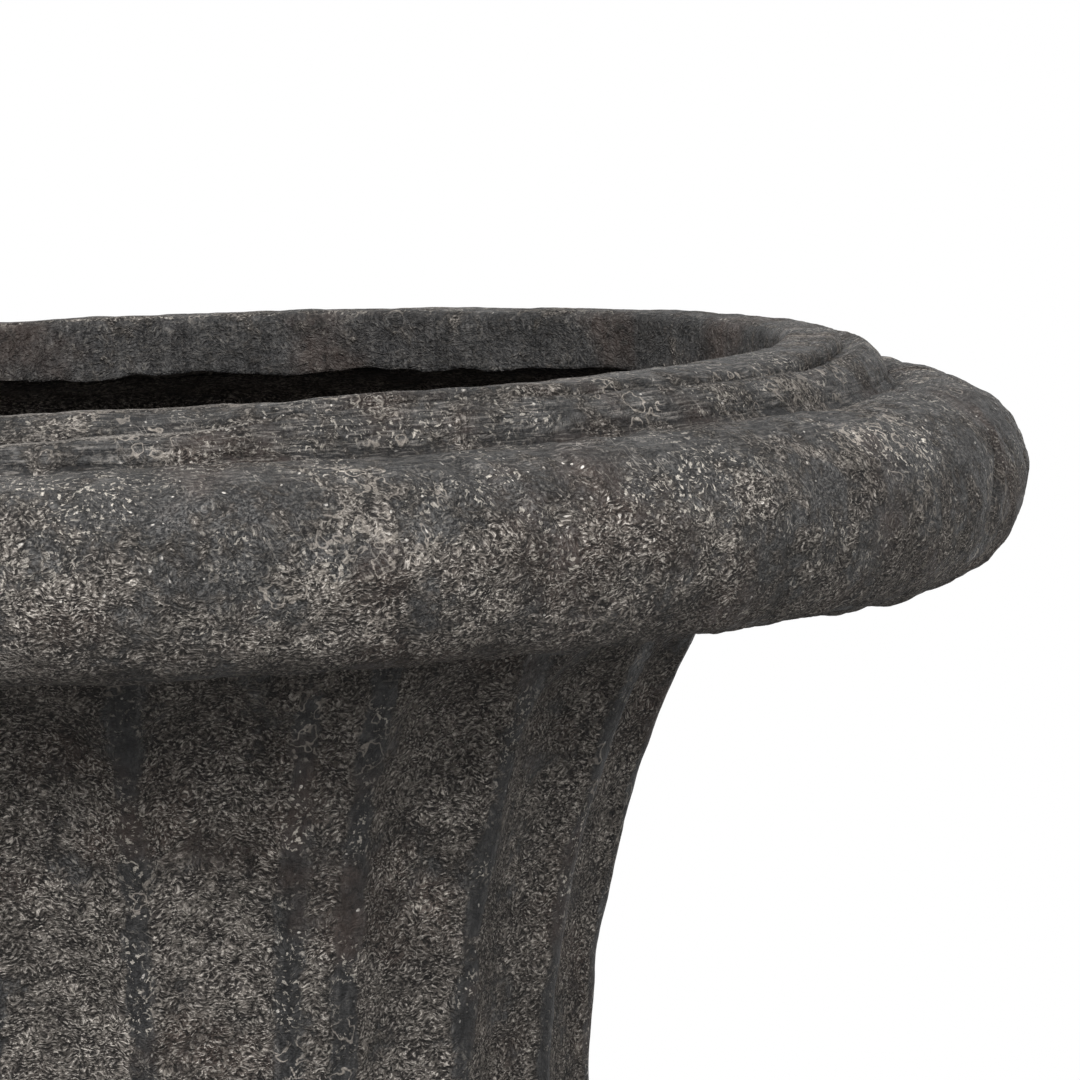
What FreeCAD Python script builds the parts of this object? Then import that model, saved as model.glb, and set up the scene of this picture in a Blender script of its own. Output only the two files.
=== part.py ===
import FreeCAD, Part
import Sketcher
import math
import os

# Fluted urn planter: a thin cast bowl with a rolled rim, on a hollow cast pedestal. The two
# castings are drawn together by one threaded rod, and a rubber plug closes the drain hole.
# Origin at the middle of the four foot pads' undersides, +Z up, millimetres.
# The narrow plain strip between two flutes stands 23 degrees to the right of the -Y front.

SIZES = {
    # whole urn
    "height": 700,
    "seat_height": 242,
    "gasket_thick": 3,
    "gasket_inset": 2,
    # rim: flat lip, one bead, then the big roll
    "mouth_radius": 222,
    "lip_depth": 21,
    "lip_round": 4,
    "lip_radius": 243,
    "lip_drop": 5.5,
    "bead_radius": 259,
    "bead_drop": 14.5,
    "bead_curve": 16,
    "roll_centre": 271,
    "roll_drop": 49,
    "roll_curve": 33.2,
    "under_rise": 3,
    "rim_wall": 14,
    # fluted neck
    "neck_top_drop": 84,
    "waist_radius": 148.5,
    "waist_drop": 267,
    "neck_curve": 360,
    "neck_end_drop": 300,
    "neck_wall": 21,
    "shelf_slope": 12,
    "flute_pitch": 18.55,
    "flute_curve": 42,
    "flute_deep": 6.4,
    "flute_sweep": 367,
    "flute_angle": 21.7,
    "first_flute": -54.1,
    # ring at the waist and the lower bowl
    "ring_curve": 9,
    "ring_tall": 17,
    "bulge_centre": 138,
    "bulge_drop": 366.5,
    "bulge_curve": 48,
    "bulge_start": 68,
    "bulge_finish": 38,
    "under_curve": 155,
    "seat_radius": 64,
    "bowl_wall": 17,
    "floor_thick": 20,
    "bowl_start": 62,
    # pedestal
    "collar_curve": 8.5,
    "collar_tall": 16,
    "stem_radius": 60,
    "stem_top": 218,
    "stem_curve": 132,
    "flare_radius": 122,
    "flare_height": 106,
    "torus_radius": 126,
    "torus_top": 100,
    "torus_curve": 12.5,
    "plinth_top": 76,
    "plinth_half": 155,
    "plinth_edge": 4,
    "stem_bore": 42,
    "ledge_height": 130,
    "ledge_radius": 74,
    "cavity_top": 64,
    "cavity_radius": 128,
    "cavity_step": 14,
    # rod, nuts, washers and bridge plate
    "rod_radius": 6,
    "rod_hole": 7,
    "rod_low": 104,
    "rod_high": 286,
    "thread_gap": 0.05,
    "thread_chamfer": 1.2,
    "washer_gap": 0.5,
    "nut_flats": 19,
    "nut_height": 10.8,
    "washer_radius": 14,
    "washer_thick": 2.5,
    "seal_radius": 17,
    "seal_thick": 3,
    "plate_long": 140,
    "plate_wide": 40,
    "plate_thick": 6,
    # drain plug
    "drain_offset": 29,
    "drain_radius": 7.5,
    "plug_gap": 0.3,
    "plug_flange": 11,
    "plug_head": 4,
    "plug_length": 25,
    "tab_radius": 4,
    "tab_height": 10,
    "nose_taper": 1.5,
    "nose_length": 8,
    # foot pads
    "pad_radius": 18,
    "pad_spread": 126,
    "pad_show": 3,
    "pad_sunk": 2,
    "quarter": 90,
}

doc = FreeCAD.newDocument("urn_planter")
sheet = doc.addObject("Spreadsheet::Sheet", "size")
for row, (alias, number) in enumerate(SIZES.items(), start=1):
    sheet.set(f"A{row}", alias)
    sheet.set(f"B{row}", str(number))
    sheet.setAlias(f"B{row}", alias)
doc.recompute()


def value(expression):
    """The number that an expression on the sheet gives, for a sketch's first guess."""
    result = sheet.evalExpression(expression)
    return float(getattr(result, "Value", result))


def new_body(name):
    body = doc.addObject("PartDesign::Body", name)
    body.Label = name
    return body


def origin_feature(body, role):
    return next(item for item in body.Origin.OriginFeatures if item.Role == role)


def new_sketch(body, name, plane, lift=None):
    """A sketch on one of the body's own planes, raised along it by the expression lift."""
    sketch = body.newObject("Sketcher::SketchObject", name)
    sketch.AttachmentSupport = [(origin_feature(body, plane), "")]
    sketch.MapMode = "FlatFace"
    if lift:
        sketch.setExpression("AttachmentOffset.Base.z", lift)
        doc.recompute()
    return sketch


def bind(sketch, kind, places, expression):
    """A dimension in the sketch that follows the sheet."""
    guess = value(expression)
    index = sketch.addConstraint(Sketcher.Constraint(kind, *places, guess))
    sketch.setExpression(f"Constraints[{index}]", expression)


def hold_point(sketch, edge, end, x, y):
    """Dimensions from the origin to a point, or the point on the axis where one is zero."""
    for kind, expression, axis in (("DistanceX", x, -2), ("DistanceY", y, -1)):
        if value(expression) == 0:
            sketch.addConstraint(Sketcher.Constraint("PointOnObject", edge, end, axis))
        else:
            bind(sketch, kind, (-1, 1, edge, end), expression)


def bulged_edge(start, end, radius, turn):
    """The short arc from start to end; turn is 1 where it runs anticlockwise, -1 clockwise."""
    chord = end - start
    middle = (start + end) / 2
    side = FreeCAD.Vector(-chord.y, chord.x, 0).normalize()
    rise = math.sqrt(max(radius ** 2 - (chord.Length / 2) ** 2, 0))
    centre = middle + side * rise * turn
    first = math.atan2(start.y - centre.y, start.x - centre.x)
    last = math.atan2(end.y - centre.y, end.x - centre.x)
    if turn < 0:
        first, last = last, first
    circle = Part.Circle(centre, FreeCAD.Vector(0, 0, 1), radius)
    return Part.ArcOfCircle(circle, first, last)


def draw_outline(sketch, corners):
    """A closed outline. Each corner is its x and y, and then the radius and turn of an arc
    if its edge to the next corner is one."""
    points = [FreeCAD.Vector(value(corner[0]), value(corner[1]), 0) for corner in corners]
    ends = []
    for index, corner in enumerate(corners):
        start = points[index]
        end = points[(index + 1) % len(points)]
        if len(corner) == 4:
            edge = sketch.addGeometry(bulged_edge(start, end, value(corner[2]), corner[3]), False)
            ends.append((edge, 1, 2) if corner[3] > 0 else (edge, 2, 1))
        else:
            edge = sketch.addGeometry(Part.LineSegment(start, end), False)
            ends.append((edge, 1, 2))
    for index, (edge, first, last) in enumerate(ends):
        after, after_first, after_last = ends[(index + 1) % len(ends)]
        sketch.addConstraint(Sketcher.Constraint("Coincident", edge, last, after, after_first))
    for index, corner in enumerate(corners):
        edge, first, last = ends[index]
        hold_point(sketch, edge, first, corner[0], corner[1])
        if len(corner) == 4:
            bind(sketch, "Radius", (edge,), corner[2])
    doc.recompute()


def draw_circle(sketch, radius, centre_x="0", centre_y="0"):
    centre = FreeCAD.Vector(value(centre_x), value(centre_y), 0)
    up = FreeCAD.Vector(0, 0, 1)
    edge = sketch.addGeometry(Part.Circle(centre, up, value(radius)), False)
    hold_point(sketch, edge, 3, centre_x, centre_y)
    bind(sketch, "Radius", (edge,), radius)
    doc.recompute()


def turn_solid(body, name, corners, kind="PartDesign::Revolution"):
    """A full turn about Z of an outline drawn in the XZ plane, added or cut away."""
    sketch = new_sketch(body, name + "_outline", "XZ_Plane")
    draw_outline(sketch, corners)
    feature = body.newObject(kind, name)
    feature.Profile = sketch
    feature.ReferenceAxis = (origin_feature(body, "Z_Axis"), [""])
    feature.Angle = 360
    doc.recompute()
    return feature


def pad_up(body, name, sketch, length):
    pad = body.newObject("PartDesign::Pad", name)
    pad.Profile = sketch
    pad.setExpression("Length", length)
    doc.recompute()
    return pad


def pocket_down(body, name, sketch, length):
    """A pocket that cuts down from its sketch, checked against the volume it leaves."""
    before = body.Shape.Volume
    pocket = body.newObject("PartDesign::Pocket", name)
    pocket.Profile = sketch
    pocket.setExpression("Length", length)
    doc.recompute()
    if body.Shape.Volume > before - 1:
        raise SystemExit(f"{name} cuts nothing")
    return pocket


def drilled(body, name, radius, top, length, centre_x="0", centre_y="0"):
    sketch = new_sketch(body, name + "_circle", "XY_Plane", top)
    draw_circle(sketch, radius, centre_x, centre_y)
    return pocket_down(body, name, sketch, length)


def patterned(body, name, features, pitch, count):
    """Copies of the features round Z, pitch degrees apart, the features themselves counted."""
    pattern = body.newObject("PartDesign::PolarPattern", name)
    pattern.Originals = features
    pattern.Axis = (origin_feature(body, "Z_Axis"), [""])
    pattern.Mode = "Spacing"
    pattern.setExpression("Offset", pitch)
    pattern.Occurrences = count
    body.Tip = pattern
    doc.recompute()
    return pattern


# ---- bowl -----------------------------------------------------------------------------------

FLUTES = 19


def neck_radius(drop):
    """The neck's radius over the flutes' edges, at a drop below the lip."""
    return (f"(size.waist_radius + size.neck_curve"
            f" - sqrt(size.neck_curve ^ 2 - (size.waist_drop - ({drop})) ^ 2))")


def neck_inside(drop):
    """The inner wall keeps the neck's own curve, one wall further in."""
    return (f"(size.waist_radius + size.neck_curve"
            f" - sqrt((size.neck_curve + size.neck_wall) ^ 2 - (size.waist_drop - ({drop})) ^ 2))")


def below(drop):
    return f"size.height - ({drop})"


def on_arc(centre, radius, angle):
    """The point of an arc at an angle above the level, in the XZ plane."""
    return (f"{centre[0]} + ({radius}) * cos(({angle}) * 1deg)",
            f"{centre[1]} + ({radius}) * sin(({angle}) * 1deg)")


# The lower bowl is two arcs that meet smoothly: the bulge, and a wide one under it.
BULGE = ("size.bulge_centre", "size.height - size.bulge_drop")
UNDER = on_arc(BULGE, "size.bulge_curve - size.under_curve", "-size.bulge_finish")


def build_bowl_outside(body):
    turn_solid(body, "outside", [
        ("0", below("size.lip_drop")),
        ("size.mouth_radius", below("size.lip_drop")),
        ("size.mouth_radius", below("size.lip_round"), "size.lip_round", -1),
        ("size.mouth_radius + size.lip_round", "size.height"),
        ("size.lip_radius - size.lip_round", "size.height", "size.lip_round", -1),
        ("size.lip_radius", below("size.lip_round")),
        ("size.lip_radius", below("size.lip_drop")),
        ("size.lip_radius + 2", below("size.lip_drop"), "size.bead_curve", -1),
        ("size.bead_radius", below("size.bead_drop")),
        ("size.bead_radius", below("size.roll_drop - sqrt(size.roll_curve ^ 2"
                                   " - (size.roll_centre - size.bead_radius) ^ 2)"),
         "size.roll_curve", -1),
        ("size.roll_centre + size.roll_curve", below("size.roll_drop"),
         "size.roll_curve", -1),
        ("size.roll_centre", below("size.roll_drop + size.roll_curve")),
        (neck_radius("size.neck_top_drop") + " + size.shelf_slope",
         below("size.roll_drop + size.roll_curve - size.under_rise")),
        (neck_radius("size.neck_top_drop"), below("size.neck_top_drop"),
         "size.neck_curve", 1),
        (neck_radius("size.neck_end_drop"), below("size.neck_end_drop"),
         "size.ring_curve", -1),
        (neck_radius("size.neck_end_drop"), below("size.neck_end_drop + size.ring_tall")),
        (*on_arc(BULGE, "size.bulge_curve", "size.bulge_start"), "size.bulge_curve", -1),
        (*on_arc(BULGE, "size.bulge_curve", "-size.bulge_finish"), "size.under_curve", -1),
        ("size.seat_radius", f"{UNDER[1]} - sqrt(size.under_curve ^ 2"
                             f" - (size.seat_radius - ({UNDER[0]})) ^ 2)"),
        ("size.seat_radius", "size.seat_height"),
        ("0", "size.seat_height"),
    ])


def build_flutes(body):
    """Shallow hollow flutes with round ends, as a round-nosed cutter leaves them. The cutter's
    middle follows an arc that starts level with the waist and goes a little deeper as it
    rises, so that the flutes widen with the neck; a ball ends it at the top and the foot."""
    waist = below("size.waist_drop")
    start = "size.waist_radius - size.flute_deep + size.flute_curve"
    axis = f"{start} + size.flute_sweep"
    section = new_sketch(body, "flute_section", "XY_Plane", waist)
    draw_circle(section, "size.flute_curve", start)
    low = FreeCAD.Vector(value(axis), -10, 0)
    high = FreeCAD.Vector(value(axis), 10, 0)
    line = section.addGeometry(Part.LineSegment(low, high), True)
    section.addConstraint(Sketcher.Constraint("Symmetric", line, 1, line, 2, -1))
    bind(section, "DistanceX", (-1, 1, line, 1), axis)
    before = body.Shape.Volume
    flute = body.newObject("PartDesign::Groove", "flute")
    flute.Profile = section
    flute.ReferenceAxis = (section, ["Axis0"])
    flute.setExpression("Angle", "size.flute_angle")
    doc.recompute()
    patterned(body, "flutes", [flute], "size.flute_pitch", FLUTES)
    angle = "size.flute_angle * 1deg"
    for name, x, z in (
        ("flute_foot", start, waist),
        ("flute_top", f"{axis} - size.flute_sweep * cos({angle})",
         f"{waist} + size.flute_sweep * sin({angle})"),
    ):
        ball = body.newObject("PartDesign::SubtractiveSphere", name)
        ball.setExpression("Radius", "size.flute_curve")
        ball.AttachmentSupport = [(origin_feature(body, "XY_Plane"), "")]
        ball.MapMode = "FlatFace"
        ball.setExpression("AttachmentOffset.Base.x", x)
        ball.setExpression("AttachmentOffset.Base.z", z)
        doc.recompute()
        patterned(body, name + "s", [ball], "size.flute_pitch", FLUTES)


FLOOR = "size.seat_height + size.floor_thick"


def build_bowl_hollow(body):
    inner_roll = "(size.roll_curve - size.rim_wall)"
    shelf_drop = f"size.roll_drop + {inner_roll}"
    turn_solid(body, "hollow", [
        ("0", below("-1")),
        ("size.mouth_radius", below("-1")),
        ("size.mouth_radius", below("size.lip_depth")),
        ("size.lip_radius", below("size.lip_depth")),
        ("size.roll_centre", below(f"size.roll_drop - {inner_roll}"), inner_roll, -1),
        (f"size.roll_centre + {inner_roll}", below("size.roll_drop"), inner_roll, -1),
        ("size.roll_centre", below(shelf_drop)),
        (neck_inside("size.neck_top_drop") + " + size.shelf_slope", below(shelf_drop)),
        (neck_inside("size.neck_top_drop"), below("size.neck_top_drop"),
         "size.neck_curve + size.neck_wall", 1),
        (neck_inside("size.neck_end_drop"), below("size.neck_end_drop")),
        (neck_inside("size.neck_end_drop"), below("size.neck_end_drop + size.ring_curve")),
        (*on_arc(BULGE, "size.bulge_curve - size.bowl_wall", "size.bowl_start"),
         "size.bulge_curve - size.bowl_wall", -1),
        (*on_arc(BULGE, "size.bulge_curve - size.bowl_wall", "-size.bulge_finish"),
         "size.under_curve - size.bowl_wall", -1),
        (f"{UNDER[0]} + sqrt((size.under_curve - size.bowl_wall) ^ 2"
         f" - ({UNDER[1]} - ({FLOOR})) ^ 2)", FLOOR),
        ("0", FLOOR),
    ], "PartDesign::Groove")


def drain_place():
    """The drain hole stands towards +X, whatever way the bowl's flutes are turned."""
    turn = "size.first_flute * 1deg"
    return f"size.drain_offset * cos({turn})", f"-size.drain_offset * sin({turn})"


def build_bowl():
    body = new_body("bowl")
    build_bowl_outside(body)
    build_flutes(body)
    build_bowl_hollow(body)
    above_floor = f"{FLOOR} + 1"
    through = "size.floor_thick + 2"
    drilled(body, "rod_way", "size.rod_hole", above_floor, through)
    drilled(body, "drain_hole", "size.drain_radius", above_floor, through, *drain_place())
    body.setExpression("Placement.Rotation.Angle", "size.first_flute * 1deg")
    return body


# ---- pedestal -------------------------------------------------------------------------------

def square(sketch, half):
    corners = [(f"-({half})", f"-({half})"), (half, f"-({half})"), (half, half),
               (f"-({half})", half)]
    draw_outline(sketch, corners)


def build_pedestal():
    """Square plinth, round foot and stem in one hollow casting."""
    body = new_body("pedestal")
    under = new_sketch(body, "plinth_square", "XY_Plane", "size.pad_show")
    square(under, "size.plinth_half")
    plinth = pad_up(body, "plinth", under, "size.plinth_top - size.pad_show")
    top = value("size.plinth_top")
    low = value("size.pad_show")
    worn = []
    for index, edge in enumerate(plinth.Shape.Edges, start=1):
        heights = [vertex.Z for vertex in edge.Vertexes]
        level_top = all(abs(height - top) < 0.01 for height in heights)
        upright = abs(heights[0] - heights[-1]) > top - low - 0.01
        if level_top or upright:
            worn.append(f"Edge{index}")
    chamfer = body.newObject("PartDesign::Chamfer", "plinth_edges")
    chamfer.Base = (plinth, worn)
    chamfer.setExpression("Size", "size.plinth_edge")
    doc.recompute()
    gasket_under = "size.seat_height - size.gasket_thick"
    collar = "size.seat_radius + 2"
    turn_solid(body, "foot_and_stem", [
        ("0", gasket_under),
        (collar, gasket_under, "size.collar_curve", -1),
        (collar, f"{gasket_under} - size.collar_tall"),
        ("size.stem_radius", "size.stem_top", "size.stem_curve", 1),
        ("size.flare_radius", "size.flare_height"),
        ("size.flare_radius", "size.torus_top"),
        ("size.torus_radius", "size.torus_top", "size.torus_curve", -1),
        ("size.torus_radius", "size.plinth_top"),
        ("size.torus_radius", "size.plinth_top - 2"),
        ("0", "size.plinth_top - 2"),
    ])
    turn_solid(body, "hollow", [
        ("0", "size.seat_height"),
        ("size.stem_bore", "size.seat_height"),
        ("size.stem_bore", "size.ledge_height"),
        ("size.ledge_radius", "size.ledge_height"),
        ("size.cavity_radius - size.cavity_step", "size.cavity_top"),
        ("size.cavity_radius", "size.cavity_top"),
        ("size.cavity_radius", "size.pad_show - 1"),
        ("0", "size.pad_show - 1"),
    ], "PartDesign::Groove")
    recess = drilled(body, "pad_recess", "size.pad_radius + size.plug_gap",
                     "size.pad_show + size.pad_sunk", "size.pad_sunk + 1",
                     "size.pad_spread", "size.pad_spread")
    patterned(body, "pad_recesses", [recess], "size.quarter", 4)
    return body


# ---- what holds the two castings together -----------------------------------------------------

def build_gasket():
    body = new_body("joint_gasket")
    low = "size.seat_height - size.gasket_thick"
    ring = new_sketch(body, "ring", "XY_Plane", low)
    draw_circle(ring, "size.seat_radius - size.gasket_inset")
    pad_up(body, "disc", ring, "size.gasket_thick")
    drilled(body, "opening", "size.stem_bore + size.gasket_inset", "size.seat_height",
            "size.gasket_thick")
    return body


def build_rod():
    body = new_body("clamp_rod")
    end = new_sketch(body, "round", "XY_Plane", "size.rod_low")
    draw_circle(end, "size.rod_radius")
    rod = pad_up(body, "bar", end, "size.rod_high - size.rod_low")
    chamfer = body.newObject("PartDesign::Chamfer", "ends")
    rims = [f"Edge{index}" for index, edge in enumerate(rod.Shape.Edges, start=1)
            if len(edge.Vertexes) == 1]
    chamfer.Base = (rod, rims)
    chamfer.setExpression("Size", "size.thread_chamfer")
    doc.recompute()
    return body


def build_washer(name, low, thick, radius):
    body = new_body(name)
    disc = new_sketch(body, "round", "XY_Plane", low)
    draw_circle(disc, radius)
    pad_up(body, "disc", disc, thick)
    drilled(body, "hole", "size.rod_radius + size.washer_gap", f"{low} + {thick}", thick)
    return body


def build_nut(name, low):
    """A plain hexagon nut, its corners turned off at both faces."""
    body = new_body(name)
    corner = "size.nut_flats / sqrt(3)"
    hexagon = new_sketch(body, "hexagon", "XY_Plane", low)
    draw_outline(hexagon, [
        (f"{corner} * cos({60 * side + 30}deg)", f"{corner} * sin({60 * side + 30}deg)")
        for side in range(6)
    ])
    pad_up(body, "block", hexagon, "size.nut_height")
    face = "0.49 * size.nut_flats"
    drop = "size.thread_chamfer"
    high = f"{low} + size.nut_height"
    for part, level, inward in (("top", high, f"{high} - {drop}"), ("under", low, f"{low} + {drop}")):
        turn_solid(body, part + "_corners", [
            (face, level),
            ("0.7 * size.nut_flats", level),
            ("0.7 * size.nut_flats", inward),
            (f"{corner} + size.thread_gap", inward),
        ], "PartDesign::Groove")
    drilled(body, "thread", "size.rod_radius + size.thread_gap", high, "size.nut_height")
    return body


def build_bridge_plate():
    """The flat bar that spans the stem's bore from below and takes the rod's pull."""
    body = new_body("bridge_plate")
    low = "size.ledge_height - size.plate_thick"
    outline = new_sketch(body, "bar", "XY_Plane", low)
    long_half = "size.plate_long / 2"
    wide_half = "size.plate_wide / 2"
    draw_outline(outline, [
        (f"-{long_half}", f"-{wide_half}"), (long_half, f"-{wide_half}"),
        (long_half, wide_half), (f"-{long_half}", wide_half),
    ])
    bar = pad_up(body, "flat", outline, "size.plate_thick")
    corners = [f"Edge{index}" for index, edge in enumerate(bar.Shape.Edges, start=1)
               if abs(edge.Vertexes[0].Z - edge.Vertexes[-1].Z) > 1]
    fillet = body.newObject("PartDesign::Fillet", "corners")
    fillet.Base = (bar, corners)
    fillet.setExpression("Radius", "size.plate_thick")
    doc.recompute()
    drilled(body, "hole", "size.rod_hole", "size.ledge_height", "size.plate_thick")
    return body


# ---- drain plug and foot pads -----------------------------------------------------------------

def build_drain_plug():
    """A moulded rubber plug: a tapered nose, a flange on the bowl's floor and a pull knob."""
    body = new_body("drain_plug")
    stem = "size.drain_radius - size.plug_gap"
    turn_solid(body, "moulding", [
        ("0", "-size.plug_length"),
        (f"{stem} - size.nose_taper", "-size.plug_length"),
        (stem, "-size.plug_length + size.nose_length"),
        (stem, "0"),
        ("size.plug_flange", "0"),
        ("size.plug_flange", "size.plug_head - size.nose_taper"),
        ("size.plug_flange - size.nose_taper", "size.plug_head"),
        ("size.tab_radius", "size.plug_head"),
        ("size.tab_radius", "size.plug_head + size.tab_height"),
        ("size.tab_radius + size.nose_taper", "size.plug_head + size.tab_height"),
        ("size.tab_radius + size.nose_taper", "size.plug_head + size.tab_height + size.nose_taper"),
        ("size.tab_radius", "size.plug_head + size.tab_height + 2 * size.nose_taper"),
        ("0", "size.plug_head + size.tab_height + 2 * size.nose_taper"),
    ])
    body.setExpression("Placement.Base.x", "size.drain_offset")
    body.setExpression("Placement.Base.z", FLOOR)
    return body


def build_foot_pads():
    """Four rubber discs, set in shallow recesses under the plinth's corners."""
    discs = []
    for across, along in ((1, 1), (-1, 1), (-1, -1), (1, -1)):
        disc = doc.addObject("Part::Cylinder", "pad")
        disc.setExpression("Radius", "size.pad_radius")
        disc.setExpression("Height", "size.pad_show + size.pad_sunk")
        disc.setExpression("Placement.Base.x", f"{across} * size.pad_spread")
        disc.setExpression("Placement.Base.y", f"{along} * size.pad_spread")
        discs.append(disc)
    group = doc.addObject("Part::Compound", "foot_pads")
    group.Links = discs
    group.Label = "foot_pads"
    return group


washer_level = f"{FLOOR} + size.seal_thick"
upper_nut_level = f"{washer_level} + size.washer_thick"
plate_under = "size.ledge_height - size.plate_thick"
lower_washer_level = f"{plate_under} - size.washer_thick"
lower_nut_level = f"{lower_washer_level} - size.nut_height"

subparts = [
    build_bowl(),
    build_pedestal(),
    build_gasket(),
    build_rod(),
    build_washer("seal_washer", FLOOR, "size.seal_thick", "size.seal_radius"),
    build_washer("upper_washer", washer_level, "size.washer_thick", "size.washer_radius"),
    build_nut("upper_nut", upper_nut_level),
    build_bridge_plate(),
    build_washer("lower_washer", lower_washer_level, "size.washer_thick", "size.washer_radius"),
    build_nut("lower_nut", lower_nut_level),
    build_drain_plug(),
    build_foot_pads(),
]
doc.recompute()

# Nothing is written unless every object recomputed and every sub-part is a sound solid.
for item in doc.Objects:
    if "Invalid" in item.State or "Error" in item.State:
        raise SystemExit(f"{item.Name}: {item.State}")
for subpart in subparts:
    if subpart.Shape.isNull() or not subpart.Shape.isValid():
        raise SystemExit(f"{subpart.Label} has no sound solid")

os.makedirs("parts", exist_ok=True)
for subpart in subparts:
    box = subpart.Shape.BoundBox
    print(f"{subpart.Label}: {len(subpart.Shape.Solids)} solid, {subpart.Shape.Volume:.0f} mm3,"
          f" z {box.ZMin:.1f} to {box.ZMax:.1f}, x {box.XMin:.1f} to {box.XMax:.1f}")
    subpart.Shape.exportStep(f"parts/{subpart.Label}.step")
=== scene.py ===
import math

import bpy
import numpy as np
from mathutils import Matrix, Vector


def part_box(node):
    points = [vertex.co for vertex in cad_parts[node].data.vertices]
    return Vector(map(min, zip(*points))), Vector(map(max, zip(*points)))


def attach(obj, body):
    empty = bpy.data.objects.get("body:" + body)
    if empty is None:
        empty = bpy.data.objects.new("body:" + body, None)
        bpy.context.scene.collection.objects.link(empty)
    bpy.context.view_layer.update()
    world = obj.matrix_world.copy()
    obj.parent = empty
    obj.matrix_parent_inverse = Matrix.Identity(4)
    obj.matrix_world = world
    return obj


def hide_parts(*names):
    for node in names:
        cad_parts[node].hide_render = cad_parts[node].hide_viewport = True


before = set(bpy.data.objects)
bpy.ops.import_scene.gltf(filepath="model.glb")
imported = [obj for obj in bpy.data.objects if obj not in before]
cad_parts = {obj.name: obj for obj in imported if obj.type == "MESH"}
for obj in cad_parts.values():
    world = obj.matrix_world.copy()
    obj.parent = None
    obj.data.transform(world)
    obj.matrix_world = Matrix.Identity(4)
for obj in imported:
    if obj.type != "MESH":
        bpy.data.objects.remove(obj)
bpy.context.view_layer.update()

mm = 0.001


# ---- studio ---------------------------------------------------------------------------------
# A seamless white studio. Two soft boxes stand in front, left and right, weak ones stand low and
# hang above, and the pale floor takes the urn's shadow. A long lens looks slightly down at the
# right half of the rim, its frame tipped a little, as the close-up was shot.

floor_size = 4.6
paper_plain = 1.0
paper_fades = 2.0
lens_length = 345.0
sensor_width = 36.0
camera_place = Vector((0.1358, -3.5, 0.9392))
camera_target = Vector((0.1384, 0.0, 0.6333))
camera_tip = math.radians(-2.34)
air_strength = 0.14


def colour(code):
    """An sRGB hex colour as the linear values that a shader takes."""
    values = [int(code[place:place + 2], 16) / 255 for place in (1, 3, 5)]
    linear = [v / 12.92 if v <= 0.04045 else ((v + 0.055) / 1.055) ** 2.4 for v in values]
    return (*linear, 1.0)


def add_node(tree, kind, links=None, **settings):
    """One node: its settings, and its inputs as fixed values or as links from other nodes."""
    made = tree.nodes.new(kind)
    for name, setting in settings.items():
        setattr(made, name, setting)
    for socket, source in (links or {}).items():
        if isinstance(source, bpy.types.NodeSocket):
            tree.links.new(source, made.inputs[socket])
        else:
            made.inputs[socket].default_value = source
    return made


def new_material(name):
    material = bpy.data.materials.new(name)
    material.use_nodes = True
    material.node_tree.nodes.clear()
    return material, material.node_tree


def studio_paper(name):
    """Matt white background paper: pale where the camera sees it, greyer in the light that it
    throws back, so that the urn's underside stays dark. Away from the urn it runs out into the
    white of the backdrop."""
    material, tree = new_material(name)
    path = add_node(tree, "ShaderNodeLightPath")
    sharp = add_node(tree, "ShaderNodeMath", {
        0: path.outputs["Is Glossy Ray"], 1: path.outputs["Is Transmission Ray"],
    }, operation="MAXIMUM")
    seen = add_node(tree, "ShaderNodeMath", {
        0: path.outputs["Is Camera Ray"], 1: sharp.outputs[0],
    }, operation="MAXIMUM").outputs[0]
    tone = add_node(tree, "ShaderNodeMix", {
        0: seen, 6: colour("#505050"), 7: colour("#f4f4f3"),
    }, data_type="RGBA")
    shader = add_node(tree, "ShaderNodeBsdfPrincipled", {
        "Base Color": tone.outputs[2], "Roughness": 0.95,
    })
    white = add_node(tree, "ShaderNodeEmission", {"Color": colour("#ffffff"), "Strength": 1.0})
    place = add_node(tree, "ShaderNodeTexCoord").outputs["Object"]
    away = add_node(tree, "ShaderNodeVectorMath", {0: place}, operation="LENGTH")
    fade = add_node(tree, "ShaderNodeMapRange", {
        "Value": away.outputs["Value"], "From Min": paper_plain, "From Max": paper_fades,
    }, interpolation_type="SMOOTHSTEP")
    shown = add_node(tree, "ShaderNodeMath", {
        0: fade.outputs[0], 1: seen,
    }, operation="MULTIPLY")
    paper = add_node(tree, "ShaderNodeMixShader", {
        0: shown.outputs[0], 1: shader.outputs[0], 2: white.outputs[0],
    })
    add_node(tree, "ShaderNodeOutputMaterial", {"Surface": paper.outputs[0]})
    return material


bpy.ops.object.select_all(action="DESELECT")
bpy.ops.mesh.primitive_plane_add(size=floor_size)
floor = bpy.context.object
floor.name = "studio_floor"
floor.data.materials.append(studio_paper("studio_paper"))

world = bpy.data.worlds.new("studio_world")
bpy.context.scene.world = world
world.use_nodes = True
sky = world.node_tree
sky.nodes.clear()
ray = add_node(sky, "ShaderNodeLightPath")
sharp_ray = add_node(sky, "ShaderNodeMath", {
    0: ray.outputs["Is Glossy Ray"], 1: ray.outputs["Is Transmission Ray"],
}, operation="MAXIMUM")
shown_ray = add_node(sky, "ShaderNodeMath", {
    0: ray.outputs["Is Camera Ray"], 1: sharp_ray.outputs[0],
}, operation="MAXIMUM")
dim_air = add_node(sky, "ShaderNodeBackground", {
    "Color": colour("#ffffff"), "Strength": air_strength,
})
white_air = add_node(sky, "ShaderNodeBackground", {"Color": colour("#ffffff"), "Strength": 1.0})
air = add_node(sky, "ShaderNodeMixShader", {
    0: shown_ray.outputs[0], 1: dim_air.outputs[0], 2: white_air.outputs[0],
})
add_node(sky, "ShaderNodeOutputWorld", {"Surface": air.outputs[0]})


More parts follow.
